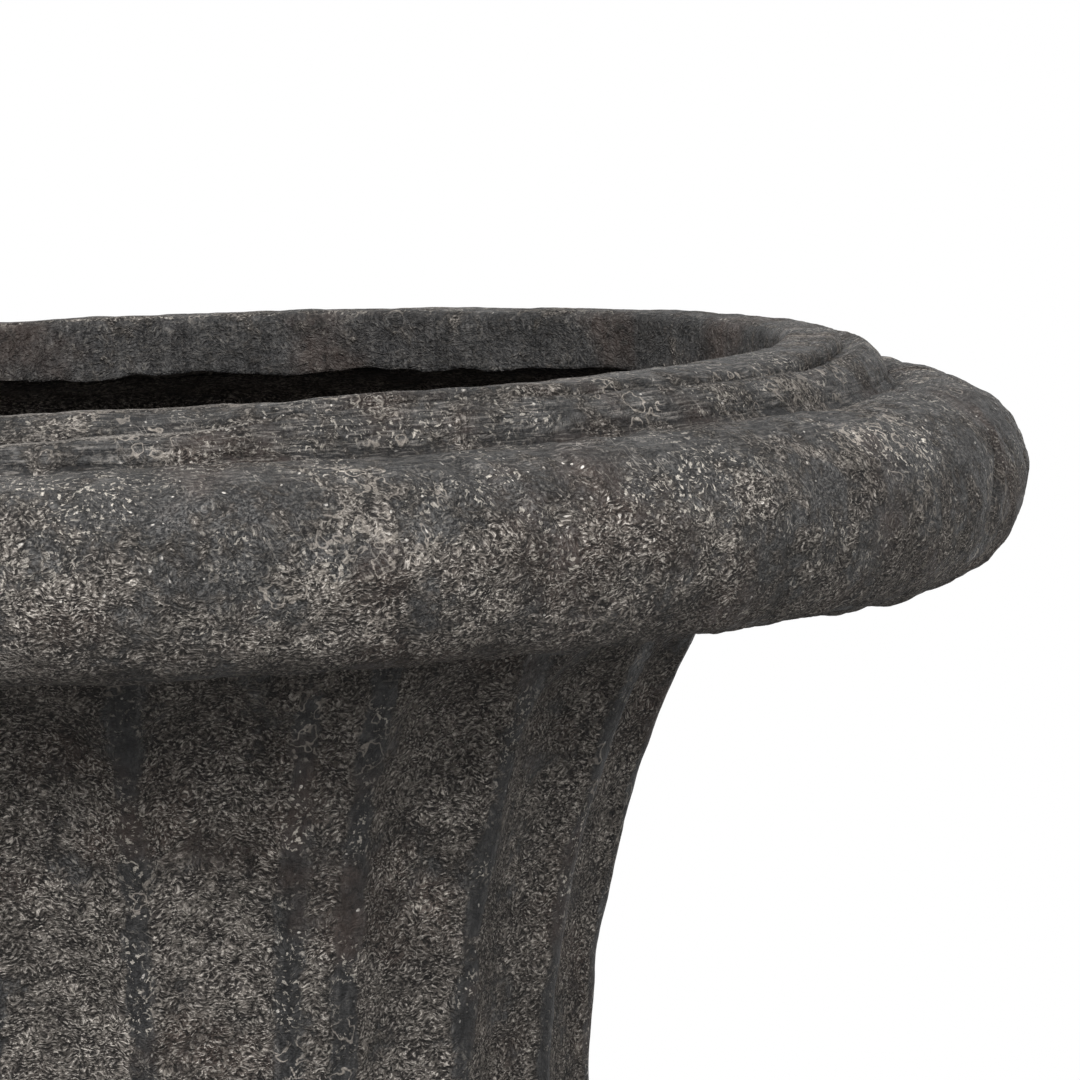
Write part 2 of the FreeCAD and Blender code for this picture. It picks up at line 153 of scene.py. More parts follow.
def soft_box(name, place, target, width, power):
    bpy.ops.object.light_add(type="AREA", location=place)
    lamp = bpy.context.object
    lamp.name = name
    lamp.data.shape = "SQUARE"
    lamp.data.size = width
    lamp.data.energy = power
    lamp.rotation_euler = (Vector(target) - Vector(place)).to_track_quat("-Z", "Y").to_euler()


soft_box("left_box", (-1.2, -2.8, 2.2), (0.1, 0.0, 0.55), 1.5, 132)
soft_box("right_box", (2.1, -2.3, 1.75), (0.1, 0.0, 0.55), 1.3, 54)
soft_box("low_box", (0.6, -3.2, 0.5), (0.1, 0.0, 0.6), 1.6, 15)
soft_box("top_box", (0.1, -0.3, 3.0), (0.1, 0.0, 0.6), 2.0, 15)

bpy.ops.object.camera_add(location=camera_place)
camera = bpy.context.object
camera.data.lens = lens_length
camera.data.sensor_width = sensor_width
aim = (camera_target - camera_place).to_track_quat("-Z", "Y").to_matrix()
camera.rotation_euler = (aim @ Matrix.Rotation(camera_tip, 3, "Z")).to_euler()
bpy.context.scene.camera = camera
bpy.context.scene.view_settings.view_transform = "Standard"


# ---- rolled rim -----------------------------------------------------------------------------
# The big hollow roll that goes round the mouth, one casting with the bowl. It is pressed by hand
# into a mould in fibre-reinforced clay and cement, so its skin is uneven, with soft dents, and
# no two lengths of it are quite alike.

rim_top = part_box("bowl")[1].z
roll_radius = 33.2 * mm
roll_middle = (271 * mm, rim_top - 49 * mm)
roll_hollow = 19.2 * mm
bead_radius = 259 * mm
lip_radius = 243 * mm
mouth_radius = 222 * mm
lip_depth = 21 * mm
ring_steps = 900
skin_step = 1.7 * mm


def arc(middle, radius, start, finish, step=skin_step):
    """Points along an arc in the XZ plane, angles in degrees from +X."""
    count = max(2, round(radius * math.radians(abs(finish - start)) / step))
    angles = [math.radians(start + (finish - start) * i / count) for i in range(count + 1)]
    return [(middle[0] + radius * math.cos(a), middle[1] + radius * math.sin(a)) for a in angles]


def straight(start, finish, step=skin_step):
    """Points along a straight run in the XZ plane."""
    count = max(1, round(math.dist(start, finish) / step))
    return [(start[0] + (finish[0] - start[0]) * i / count,
             start[1] + (finish[1] - start[1]) * i / count) for i in range(count + 1)]


def turned_ring(name, outline, steps):
    """A closed outline, extruded point by point from one vertex and turned once round Z."""
    bpy.ops.object.select_all(action="DESELECT")
    bpy.ops.mesh.primitive_plane_add(size=mm)
    piece = bpy.context.object
    piece.name = name
    points = [Vector((x, 0, z)) for x, z in outline]
    points = [p for i, p in enumerate(points) if (p - points[i - 1]).length > 1e-6]
    bpy.ops.object.mode_set(mode="EDIT")
    bpy.ops.mesh.select_all(action="SELECT")
    bpy.ops.mesh.merge(type="CENTER")
    bpy.ops.transform.translate(value=points[0])
    for here, there in zip(points, points[1:] + points[:1]):
        bpy.ops.mesh.extrude_region_move(TRANSFORM_OT_translate={"value": there - here})
    bpy.ops.mesh.select_all(action="SELECT")
    bpy.ops.mesh.remove_doubles(threshold=1e-6)
    bpy.ops.object.mode_set(mode="OBJECT")
    lathe = piece.modifiers.new("lathe", "SCREW")
    lathe.steps = lathe.render_steps = steps
    lathe.use_merge_vertices = True
    lathe.merge_threshold = 1e-6
    bpy.ops.object.modifier_apply(modifier=lathe.name)
    bpy.ops.object.mode_set(mode="EDIT")
    bpy.ops.mesh.select_all(action="SELECT")
    bpy.ops.mesh.remove_doubles(threshold=1e-6)
    bpy.ops.mesh.normals_make_consistent(inside=False)
    bpy.ops.object.mode_set(mode="OBJECT")
    bpy.ops.object.shade_smooth()
    return piece


def press(piece, texture, direction, depth, where=""):
    """Pushes the skin in and out by a procedural texture, and makes the result the mesh."""
    bpy.context.view_layer.objects.active = piece
    dent = piece.modifiers.new(texture.name, "DISPLACE")
    dent.texture = texture
    dent.texture_coords = "LOCAL"
    dent.direction = direction
    dent.strength = depth
    dent.mid_level = 0.5
    dent.vertex_group = where
    bpy.ops.object.modifier_apply(modifier=dent.name)


def clouds(name, size, layers=1, coloured=False):
    texture = bpy.data.textures.new(name, "CLOUDS")
    texture.noise_scale = size
    texture.noise_depth = layers
    texture.cloud_type = "COLOR" if coloured else "GRAYSCALE"
    return texture


hand_wobble = clouds("hand_wobble", 95 * mm, 1, coloured=True)
hand_dents = clouds("hand_dents", 24 * mm, 1)
skin_lumps = clouds("skin_lumps", 9 * mm, 2)


def hand_pressed(piece, wobble=2.6 * mm, dents=2.4 * mm, lumps=1.3 * mm):
    """The uneven skin of a hand-pressed casting: a slow wobble, thumb dents and small lumps."""
    press(piece, hand_wobble, "RGB_TO_XYZ", wobble)
    press(piece, hand_dents, "NORMAL", dents)
    press(piece, skin_lumps, "NORMAL", lumps)


def places(piece):
    """The piece's vertices as an array, with each one's distance from the axis."""
    points = np.empty(len(piece.data.vertices) * 3)
    piece.data.vertices.foreach_get("co", points)
    points = points.reshape(-1, 3)
    return points, np.hypot(points[:, 0], points[:, 1])


def ramp(values, low, high):
    """0 below low, 1 above high, and smooth between; also the other way round."""
    part = np.clip((values - low) / (high - low), 0, 1)
    return part * part * (3 - 2 * part)


def put_back(piece, points):
    """Gives the piece its moved vertices."""
    piece.data.vertices.foreach_set("co", points.ravel())
    piece.data.update()


def round_axis(points):
    """Where each vertex is round the urn, in radians from +X."""
    return np.arctan2(points[:, 1], points[:, 0])


def sag(piece, drops, inner, outer):
    """Lets a rim settle before it has set: drops are heights in mm at azimuths in degrees,
    and the drop grows from nothing at the inner radius to all of it at the outer one."""
    points, out = places(piece)
    azimuths, heights = zip(*drops)
    lowered = np.interp(np.degrees(round_axis(points)), azimuths, heights) * mm
    points[:, 2] -= lowered * ramp(out, inner, outer)
    put_back(piece, points)


worn_middle = -97


def worn_front(points):
    """1 over 12 degrees each way of the worn length at the rim's front, where hands rest, and
    down to a tenth at 24 degrees."""
    away = np.abs(np.degrees(round_axis(points)) - worn_middle)
    return 0.1 + 0.9 * ramp(away, 24, 12)


def keep_wear_and_painted_light(piece, wash, smooth, specks, level=0.0):
    """Stores how the surface has worn, with some painted light, for the stone's material, each
    from
    0 to 1: pale wash, smooth dark skin, white specks, and whether its rub marks run level round
    the rim. The smooth dark skin also holds painted shade in the crease under the bead. A wash
    above 1.1 is a pale line: on the bead and the lip an edge rubbed pale, on the roll's lower
    edge a painted highlight."""
    count = len(piece.data.vertices)
    rows = np.ones((count, 4))
    for column, values in enumerate((wash, smooth, specks, level)):
        rows[:, column] = np.broadcast_to(values, count)
    wear_and_painted_light = piece.data.attributes.new("wear_and_painted_light", "FLOAT_COLOR", "POINT")
    wear_and_painted_light.data.foreach_set("color", rows.ravel())


def cast_stone(name):
    """Charcoal fibre-reinforced clay and cement under a warm pale wash. Where the skin is rough
    the wash sits on short wrinkles, under 2 mm long, with a painted highlight on their crests and
    painted shade in their valleys. Where it is rubbed it is smooth, dark and a little cooler.
    Both come in patches of 5 to 40 mm, with white grains, closed tide lines and scratches. All
    scales below are per mm."""
    material, tree = new_material(name)
    place = add_node(tree, "ShaderNodeTexCoord").outputs["Object"]
    wear_and_painted_light = add_node(tree, "ShaderNodeAttribute", attribute_name="wear_and_painted_light").outputs
    worn = add_node(tree, "ShaderNodeSeparateColor", {0: wear_and_painted_light["Color"]})
    wash_here, smooth_here, specks_here = worn.outputs
    per_mm = add_node(tree, "ShaderNodeMapping", {0: place, 3: (1000, 1000, 1000)}).outputs[0]
    stir = add_node(tree, "ShaderNodeTexNoise", {"Vector": per_mm, "Scale": 0.12, "Detail": 2.0})
    stirred = add_node(tree, "ShaderNodeVectorMath", {
        0: stir.outputs["Color"], 1: (6.0, 6.0, 7.0), 2: per_mm,
    }, operation="MULTIPLY_ADD").outputs[0]
    lying = add_node(tree, "ShaderNodeMapping", {0: stirred, 3: (0.58, 0.58, 1.0)}).outputs[0]
    hanging = add_node(tree, "ShaderNodeMapping", {0: per_mm, 3: (1.0, 1.0, 0.12)}).outputs[0]
    flat = add_node(tree, "ShaderNodeMapping", {0: per_mm, 3: (1.0, 1.0, 0.0)}).outputs[0]
    from_axis = add_node(tree, "ShaderNodeVectorMath", {0: flat}, operation="LENGTH").outputs[1]
    xyz = add_node(tree, "ShaderNodeSeparateXYZ", {0: per_mm})
    round_rim = add_node(tree, "ShaderNodeMath", {0: xyz.outputs[1], 1: xyz.outputs[0]},
                         operation="ARCTAN2").outputs[0]
    level_line = add_node(tree, "ShaderNodeCombineXYZ", {0: from_axis, 1: xyz.outputs[2]})
    level_line = add_node(tree, "ShaderNodeVectorMath", {
        0: level_line.outputs[0], 1: add_node(tree, "ShaderNodeCombineXYZ", {
            2: add_node(tree, "ShaderNodeMath", {0: round_rim, 1: 26.0},
                        operation="MULTIPLY").outputs[0],
        }).outputs[0],
    }, operation="ADD").outputs[0]

    def noise(vector, scale, detail, roughness=0.55):
        return add_node(tree, "ShaderNodeTexNoise", {
            "Vector": vector, "Scale": scale, "Detail": detail, "Roughness": roughness,
        }).outputs[0]

    def between(value, low, high, start=0.0, finish=1.0):
        return add_node(tree, "ShaderNodeMapRange", {
            "Value": value, "From Min": low, "From Max": high, "To Min": start, "To Max": finish,
        }, interpolation_type="SMOOTHSTEP").outputs[0]

    def sum_of(operation, first, second, third=0.0):
        return add_node(tree, "ShaderNodeMath", {0: first, 1: second, 2: third},
                        operation=operation).outputs[0]

    def blend_value(amount, first, second):
        return add_node(tree, "ShaderNodeMix", {0: amount, 2: first, 3: second}).outputs[0]

    def blend(amount, first, second):
        return add_node(tree, "ShaderNodeMix", {0: amount, 6: first, 7: second},
                        data_type="RGBA").outputs[2]

    # Patches of about 30 mm broken by a mottle of 6 mm, wrinkles, grit and rub marks, which
    # run level round the rim and hang down on the neck.
    patches = noise(per_mm, 0.036, 5.0, 0.66)
    mottle = noise(stirred, 0.16, 5.0, 0.68)
    wrinkle = noise(lying, 1.25, 1.6, 0.6)
    grit = noise(stirred, 1.1, 2.0, 0.6)
    streaks = blend_value(wear_and_painted_light["Alpha"], noise(hanging, 0.55, 3.0, 0.6),
                          noise(level_line, 0.75, 3.0, 0.65))

    # The rough washed skin against the rubbed bare one, with brown tints and dark blotches. The
    # bare skin's darkest tone also carries the painted shade in the crease under the bead.
    rough = sum_of("MULTIPLY_ADD", mottle, 0.8, sum_of("MULTIPLY", patches, 1.6))
    rough = sum_of("MULTIPLY_ADD", wash_here, 0.45, rough)
    rough = between(rough, 1.32, 1.56)
    streaky = sum_of("MAXIMUM", smooth_here, wear_and_painted_light["Alpha"])
    rubbed = blend_value(streaky, grit, streaks)
    bare = blend(between(rubbed, 0.38, 0.64), colour("#1d1d1e"), colour("#5a5958"))
    bare = blend(sum_of("MULTIPLY", smooth_here, 0.75), bare, colour("#1c1c1d"))
    warm = blend(between(mottle, 0.34, 0.66), colour("#3b3735"), colour("#726c66"))
    stone = blend(rough, bare, warm)
    tinted = between(noise(per_mm, 0.021, 3.0), 0.50, 0.66, 0.0, 0.45)
    stone = blend(tinted, stone, colour("#4d3f38"))
    blotch = between(noise(stirred, 0.22, 4.0, 0.7), 0.47, 0.36, 0.0, 0.7)
    stone = blend(blotch, stone, colour("#171616"))

    # Fine pale lines along the rim, painted shade in the wrinkles' valleys, and on their crests
    # the wash with a painted highlight.
    lines = sum_of("MULTIPLY", between(noise(level_line, 1.2, 2.0), 0.55, 0.63), wear_and_painted_light["Alpha"])
    stone = blend(sum_of("MULTIPLY", lines, 0.42), stone, colour("#a19b95"))
    painted_valley_shade = sum_of("MULTIPLY", between(wrinkle, 0.47, 0.39), between(rough, 0.0, 1.0, 0.3, 1.0))
    stone = blend(sum_of("MULTIPLY", painted_valley_shade, 0.85), stone, colour("#121111"))
    crest_here = sum_of("MAXIMUM", rough, sum_of("MULTIPLY_ADD", smooth_here, -0.14, 0.16))
    crest_wash_and_highlight = sum_of("MULTIPLY", between(wrinkle, 0.54, 0.61), crest_here)
    crest_wash_and_highlight_tone = blend(between(grit, 0.42, 0.60), colour("#8f8983"), colour("#d0c8bf"))
    stone = blend(sum_of("MULTIPLY", crest_wash_and_highlight, 0.8), stone, crest_wash_and_highlight_tone)

    # White flecks in loose bands, and single grains, both of about 1 mm.
    flecks = noise(stirred, 0.62, 3.0, 0.62)
    fleck_bands = between(noise(lying, 0.05, 4.0, 0.65), 0.42, 0.62)
    flecked = sum_of("MULTIPLY", between(flecks, 0.57, 0.61), fleck_bands)
    flecked = sum_of("MULTIPLY", flecked, specks_here)
    stone = blend(sum_of("MULTIPLY", flecked, 0.85), stone, colour("#e2dace"))
    cells = add_node(tree, "ShaderNodeTexVoronoi", {"Vector": stirred, "Scale": 0.36})
    cell_dice = add_node(tree, "ShaderNodeSeparateColor", {0: cells.outputs["Color"]}).outputs[0]
    grain = sum_of("MULTIPLY", between(cells.outputs["Distance"], 0.22, 0.12),
                   between(cell_dice, 0.80, 0.82))
    grain = sum_of("MULTIPLY", grain, specks_here)
    stone = blend(sum_of("MULTIPLY", grain, 0.9), stone, colour("#ebe5dd"))

    # Closed lines 4 to 8 mm across, where drops of wash dried from the edge inwards.
    swirl = add_node(tree, "ShaderNodeTexNoise", {"Vector": per_mm, "Scale": 0.22, "Detail": 1.0})
    swirled = add_node(tree, "ShaderNodeVectorMath", {
        0: swirl.outputs["Color"], 1: (9.0, 9.0, 9.0), 2: per_mm,
    }, operation="MULTIPLY_ADD").outputs[0]
    pools = add_node(tree, "ShaderNodeTexVoronoi", {
        "Vector": swirled, "Scale": 0.11, "Randomness": 0.9,
    })
    pool_dice = add_node(tree, "ShaderNodeSeparateColor", {0: pools.outputs["Color"]})
    shore = sum_of("SUBTRACT", pools.outputs["Distance"],
                   between(pool_dice.outputs[1], 0.0, 1.0, 0.22, 0.45))
    tide_line = sum_of("MULTIPLY", between(sum_of("ABSOLUTE", shore, 0.0), 0.06, 0.02),
                       between(noise(per_mm, 0.019, 1.0), 0.53, 0.56))
    tide_line = sum_of("MULTIPLY", tide_line, specks_here)
    stone = blend(sum_of("MULTIPLY", tide_line, 0.8), stone, colour("#bab1a7"))

    # Slanting scratches, in a few places only.
    slanted = add_node(tree, "ShaderNodeMapping", {0: per_mm, 2: (0.0, math.radians(-58), 0.0)})
    slanted = add_node(tree, "ShaderNodeMapping", {
        0: slanted.outputs[0], 3: (0.05, 0.4, 1.0),
    }).outputs[0]
    scratch = sum_of("ABSOLUTE", sum_of("SUBTRACT", noise(slanted, 0.22, 2.0), 0.5), 0.0)
    scratch = sum_of("MULTIPLY", between(scratch, 0.012, 0.004),
                     between(noise(per_mm, 0.028, 2.0), 0.56, 0.64))
    scratch = sum_of("MULTIPLY", scratch, specks_here)
    stone = blend(sum_of("MULTIPLY", scratch, 0.55), stone, colour("#b0aaa3"))

    # Edges rubbed pale, with a painted highlight line along the roll's lower edge, and a slow
    # cloud of 20 mm over all of it.
    rubbed_edge_and_highlight = sum_of("MULTIPLY", between(wash_here, 1.1, 1.7), between(grit, 0.3, 0.6))
    stone = blend(sum_of("MULTIPLY", rubbed_edge_and_highlight, 0.8), stone, colour("#b5afa8"))
    cloud = between(noise(per_mm, 0.055, 4.0, 0.62), 0.36, 0.64, 0.70, 1.20)
    cloud = sum_of("MULTIPLY", cloud, sum_of("MULTIPLY_ADD", wear_and_painted_light["Alpha"], -0.16, 1.0))
    stone = add_node(tree, "ShaderNodeVectorMath", {0: stone, 3: cloud},
                     operation="SCALE").outputs[0]

    # The relief that goes with it, in mm: the slow mottle, the wrinkles, highest where the
    # skin is rough, then grit, rub marks, grains and lines.
    height = sum_of("MULTIPLY", wrinkle, between(rough, 0.0, 1.0, 1.0, 3.6))
    height = sum_of("MULTIPLY_ADD", mottle, 4.2, height)
    height = sum_of("MULTIPLY_ADD", grit, 0.8, height)
    height = sum_of("MULTIPLY_ADD", rubbed, 0.5, height)
    height = sum_of("MULTIPLY_ADD", sum_of("ADD", grain, tide_line), 0.3, height)
    height = sum_of("MULTIPLY_ADD", flecked, 0.35, height)
    relief = add_node(tree, "ShaderNodeBump", {"Height": height, "Strength": 1.0,
                                                "Distance": 1.0 * mm})
    dull = blend_value(rough, between(mottle, 0.3, 0.7, 0.50, 0.66), 0.84)
    shader = add_node(tree, "ShaderNodeBsdfPrincipled", {
        "Base Color": stone, "Roughness": dull, "Specular IOR Level": 0.22,
        "Normal": relief.outputs[0],
    })
    add_node(tree, "ShaderNodeOutputMaterial", {"Surface": shader.outputs[0]})
    return material


bowl_stone = cast_stone("cast_clay_stone_bowl")


def bowl_piece(piece):
    """Every length of the bowl is the same casting."""
    piece.data.materials.append(bowl_stone)
    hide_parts("bowl")
    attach(piece, "urn")


roll_meets_bead = 117
roll_skin = 26 * mm
shelf_inner = (186.3 * mm, roll_middle[1] - roll_hollow)

rim_roll = turned_ring("rim_roll", [
    *arc(roll_middle, roll_radius, roll_meets_bead, -90),
    *straight((roll_middle[0], roll_middle[1] - roll_radius), (212 * mm, rim_top - 79.4 * mm)),
    (203 * mm, rim_top - 82 * mm),
    (192 * mm, rim_top - 79 * mm),
    (181.5 * mm, rim_top - 74.5 * mm),
    *straight(shelf_inner, (roll_middle[0], shelf_inner[1]), 6 * mm),
    *arc(roll_middle, roll_hollow, -90, 90, 5 * mm),
    (lip_radius, rim_top - lip_depth),
], ring_steps)
hand_pressed(rim_roll, dents=3.0 * mm, lumps=2.2 * mm)


def round_roll(piece):
    """The roll's vertices, how far each is from the axis, its degrees round the roll's middle
    and round the urn, and whether it is on the outer skin."""
    points, out = places(piece)
    up, beyond = points[:, 2] - roll_middle[1], out - roll_middle[0]
    turn = np.degrees(np.arctan2(up, beyond))
    return points, out, turn, np.degrees(round_axis(points)), np.hypot(up, beyond) > roll_skin


# Folds in the clay: degrees round the urn and round the roll where each starts and where it
# ends, and its depth in mm. Beside each lies a bank of pushed-up clay.
folds = [
    (-69.5, 62, -64.5, -4, 1.7), (-66.8, 70, -63.0, 18, 1.4), (-63.0, 50, -58.5, -22, 1.6),
    (-59.5, 66, -57.0, 12, 1.2), (-86.0, 22, -80.5, 10, 1.3), (-12, 55, -18, -10, 1.5),
    (48, 60, 53, -5, 1.6), (118, 50, 112, -15, 1.6), (-160, 62, -155, 0, 1.6),
]
fold_width = 2.6 * mm
fold_bank = 0.7
roll_points, roll_out, roll_turn, roll_side, roll_outside = round_roll(rim_roll)
side_angle, turn_angle = np.radians(roll_side), np.radians(roll_turn)
outwards = np.stack([np.cos(side_angle) * np.cos(turn_angle),
                     np.sin(side_angle) * np.cos(turn_angle), np.sin(turn_angle)], axis=1)
for side_high, turn_high, side_low, turn_low, depth in folds:
    along = (turn_high - roll_turn) / (turn_high - turn_low)
    off = np.radians(roll_side - side_high - along * (side_low - side_high)) * roll_out
    off = off / fold_width
    sunk = np.exp(-off ** 2) - fold_bank * np.exp(-(off - 2) ** 2)
    sunk = sunk * ramp(along, -0.15, 0.15) * ramp(along, 1.15, 0.8) * depth * mm
    roll_points -= outwards * (sunk * roll_outside)[:, None]
put_back(rim_roll, roll_points)

# How much wash the roll has kept at each turn, from its underside over the edge and the front
# up to the bead, and all of it inside. The pale line on the lower edge, at turn -79, is a painted
# highlight.
wash_and_highlight_turns = [(-94, 0.0), (-88, 0.2), (-82, 1.0), (-79, 1.5), (-76, 1.0), (-70, 0.7),
              (-60, 1.05), (-25, 0.85), (10, 0.5), (35, 0.45), (65, 0.2), (90, 0.3)]
wash_inside = 0.9
roll_points, roll_out, roll_turn, roll_side, roll_outside = round_roll(rim_roll)
worn_side = 0.86 + 0.14 * np.cos(np.radians(roll_side + 115))
roll_wash_and_highlight = worn_side * np.interp(roll_turn, *zip(*wash_and_highlight_turns))
keep_wear_and_painted_light(
    rim_roll,
    wash=np.where(roll_outside, roll_wash_and_highlight, wash_inside),
    smooth=roll_outside * np.maximum(
        0.3 * ramp(roll_turn, 60, 92) + 0.7 * ramp(roll_turn, 94, 104),
        0.5 * ramp(roll_turn, -84, -95)),
    specks=roll_outside * ramp(roll_turn, -80, -50) * (0.6 + 0.4 * ramp(roll_turn, 15, 50)),
    level=ramp(roll_turn, 35, 75),
)
bowl_piece(rim_roll)


# ---- bead -----------------------------------------------------------------------------------
# The half-round step between the roll and the lip, part of the same casting. It takes the rub
# of every sleeve and cloth, so its skin is smoother and greyer, drawn out in fine level streaks.

bead_curve = 16 * mm
bead_top = rim_top - 5.5 * mm
bead_low = rim_top - 14.5 * mm
bead_crest = bead_radius - 7.5 * mm
rub_width = 1.2 * mm

rim_bead = turned_ring("rim_bead", [
    (lip_radius - 4 * mm, bead_top),
    (lip_radius + 2 * mm, bead_top),
    *arc((bead_radius - bead_curve, rim_top - 17.5 * mm), bead_curve, 62, 8, 1.0 * mm),
    *straight((bead_radius, bead_low), (bead_radius + 4 * mm, rim_top - 20 * mm), 1.2 * mm),
    (lip_radius - 4 * mm, rim_top - 22 * mm),
], ring_steps)
bead_points, bead_out = places(rim_bead)
crest_rub = np.exp(-((bead_out - bead_crest) / rub_width) ** 2)
crest_rub = crest_rub * (bead_points[:, 2] > bead_low) * worn_front(bead_points)
# The bead's foot, in the crease above the roll, is darkened as painted shade: it is stored as
# smooth dark skin with fewer specks.
bead_foot_shade = ramp(bead_points[:, 2], bead_low + 1.6 * mm, bead_low - 0.4 * mm)
rim_drops = [(-130, 0), (-112, 3.5), (-100, 5), (-93, 4.4), (-81, 2.8), (-75, -1.2),
             (-67, -3.0), (-57, -0.6), (-43, 1.2), (-31, 2.4), (-10, 0)]
sag(rim_bead, rim_drops, bead_radius + 3 * mm, lip_radius + 4 * mm)
hand_pressed(rim_bead, dents=1.2 * mm, lumps=0.7 * mm)
keep_wear_and_painted_light(rim_bead, wash=0.3 + 1.8 * crest_rub, smooth=0.1 + 0.9 * bead_foot_shade,
          specks=0.8 - 0.6 * bead_foot_shade, level=1.0)
bowl_piece(rim_bead)


# ---- lip ------------------------------------------------------------------------------------
# The flat lip round the mouth and the upright band inside it. The band ends below in a ragged
# edge, where the clay was trimmed off by hand above the hollow of the roll.

lip_round = 4 * mm

rim_lip = turned_ring("rim_lip", [
    *arc((mouth_radius + lip_round, rim_top - lip_round), lip_round, 180, 90, 1.2 * mm),
    *straight((mouth_radius + lip_round, rim_top), (lip_radius - lip_round, rim_top), 1.3 * mm),
    *arc((lip_radius - lip_round, rim_top - lip_round), lip_round, 90, 0, 1.2 * mm),
    (lip_radius, rim_top - 6.5 * mm),
    (lip_radius + 1 * mm, rim_top - lip_depth),
    *straight((lip_radius - 3 * mm, rim_top - lip_depth),
              (mouth_radius, rim_top - lip_depth), 3 * mm),
    *straight((mouth_radius, rim_top - lip_depth), (mouth_radius, rim_top - lip_round), 1.3 * mm),
], ring_steps)
lip_points, lip_out = places(rim_lip)
lip_band = ramp(lip_out, mouth_radius + 3 * mm, mouth_radius + 1 * mm)
mouth_rub = ramp(lip_out, mouth_radius + 11 * mm, mouth_radius + 7 * mm)
mouth_rub = mouth_rub * (lip_points[:, 2] > rim_top - 1.5 * mm) * worn_front(lip_points)
lip_edge = rim_lip.vertex_groups.new(name="trimmed_edge")
trimmed = ramp(lip_points[:, 2], rim_top - 13 * mm, rim_top - lip_depth)
for index in np.nonzero(trimmed > 0)[0]:
    lip_edge.add([int(index)], float(trimmed[index]), "REPLACE")
sag(rim_lip, rim_drops, mouth_radius + 8 * mm, lip_radius - 1 * mm)
press(rim_lip, clouds("trim_cuts", 34 * mm, 3), "Z", 8 * mm, "trimmed_edge")
hand_pressed(rim_lip, dents=1.4 * mm, lumps=0.7 * mm)
keep_wear_and_painted_light(rim_lip, wash=0.3 - 0.2 * lip_band + 1.2 * mouth_rub, smooth=0.45 + 0.1 * lip_band,
          specks=0.8 - 0.7 * lip_band, level=1 - 0.85 * lip_band)
bowl_piece(rim_lip)


# ---- fluted neck ----------------------------------------------------------------------------
# The waisted neck, with nineteen shallow hollow flutes that widen and deepen as they rise and
# end in round tops under the roll. The mould's joint leaves one narrow plain strip. The flutes
# hold the pale wash; the ridges between them are rubbed smooth and dark.

neck_curve = 360 * mm
neck_wall = 21 * mm
waist_radius = 148.5 * mm
waist_height = rim_top - 267 * mm
neck_axis = waist_radius + neck_curve
flute_count = 19
flute_pitch = 18.55
first_flute = -54.1
flute_curve = 42 * mm
flute_sweep = 367 * mm
flute_angle = math.radians(21.7)
flute_start = waist_radius - 6.4 * mm + flute_curve
flute_axis = flute_start + flute_sweep
ridge_softness = 3.2 * mm
ridge_width = 5.2 * mm
ring_top = rim_top - 300 * mm
neck_head = rim_top - 76 * mm
neck_steps = 1000


def neck_line(radius, low, high, step):
    """Points down the neck's curve, on an arc of this radius about its middle."""
    count = round((high - low) / step)
    levels = [high - (high - low) * i / count for i in range(count + 1)]
    return [(neck_axis - math.sqrt(radius ** 2 - (level - waist_height) ** 2), level)
            for level in levels]


neck_outline = neck_line(neck_curve, ring_top - 2 * mm, neck_head, 2.6 * mm)
neck_inside = neck_line(neck_curve + neck_wall, ring_top - 2 * mm, neck_head, 18 * mm)
neck = turned_ring("fluted_neck", neck_outline + neck_inside[::-1], neck_steps)
neck_points, neck_out = places(neck)
rise = neck_points[:, 2] - waist_height
plain_radius = neck_axis - np.sqrt(neck_curve ** 2 - rise ** 2)
neck_outside = neck_out > plain_radius - 8 * mm
from_first = (np.degrees(round_axis(neck_points)) - first_flute) % 360
flute_number = np.clip(np.round(from_first / flute_pitch), 0, flute_count)
off_middle = from_first - flute_number * flute_pitch
last_gap = flute_number == flute_count
off_middle = np.where(last_gap, from_first - 360, off_middle)
off_last = from_first - (flute_count - 1) * flute_pitch
off_middle = np.where(last_gap & (np.abs(off_last) < np.abs(off_middle)), off_last, off_middle)
off_middle = np.radians(off_middle)


def cut_radius():
    """How far from the axis the round cutter's skin is, at each vertex of the neck."""
    reach = plain_radius.copy()
    for _ in range(3):
        aside = reach * np.sin(off_middle)
        inside = flute_curve ** 2 - aside ** 2
        tube = flute_sweep + np.sqrt(np.clip(inside, 0, None))
        on_arc = flute_axis - np.sqrt(np.clip(tube ** 2 - rise ** 2, 0, None))
        turn = np.arctan2(rise, flute_axis - on_arc)
        top_x = flute_axis - flute_sweep * math.cos(flute_angle)
        top_rise = flute_sweep * math.sin(flute_angle)
        top_ball = inside - (rise - top_rise) ** 2
        foot_ball = inside - rise ** 2
        along = np.where(turn > flute_angle, top_x - np.sqrt(np.clip(top_ball, 0, None)), on_arc)
        along = np.where(rise < 0, flute_start - np.sqrt(np.clip(foot_ball, 0, None)), along)
        misses = (inside <= 0) | ((turn > flute_angle) & (top_ball <= 0))
        misses = misses | ((rise < 0) & (foot_ball <= 0)) | (np.cos(off_middle) < 0.5)
        reach = np.where(misses, plain_radius + 9 * mm, along / np.cos(off_middle))
    return reach


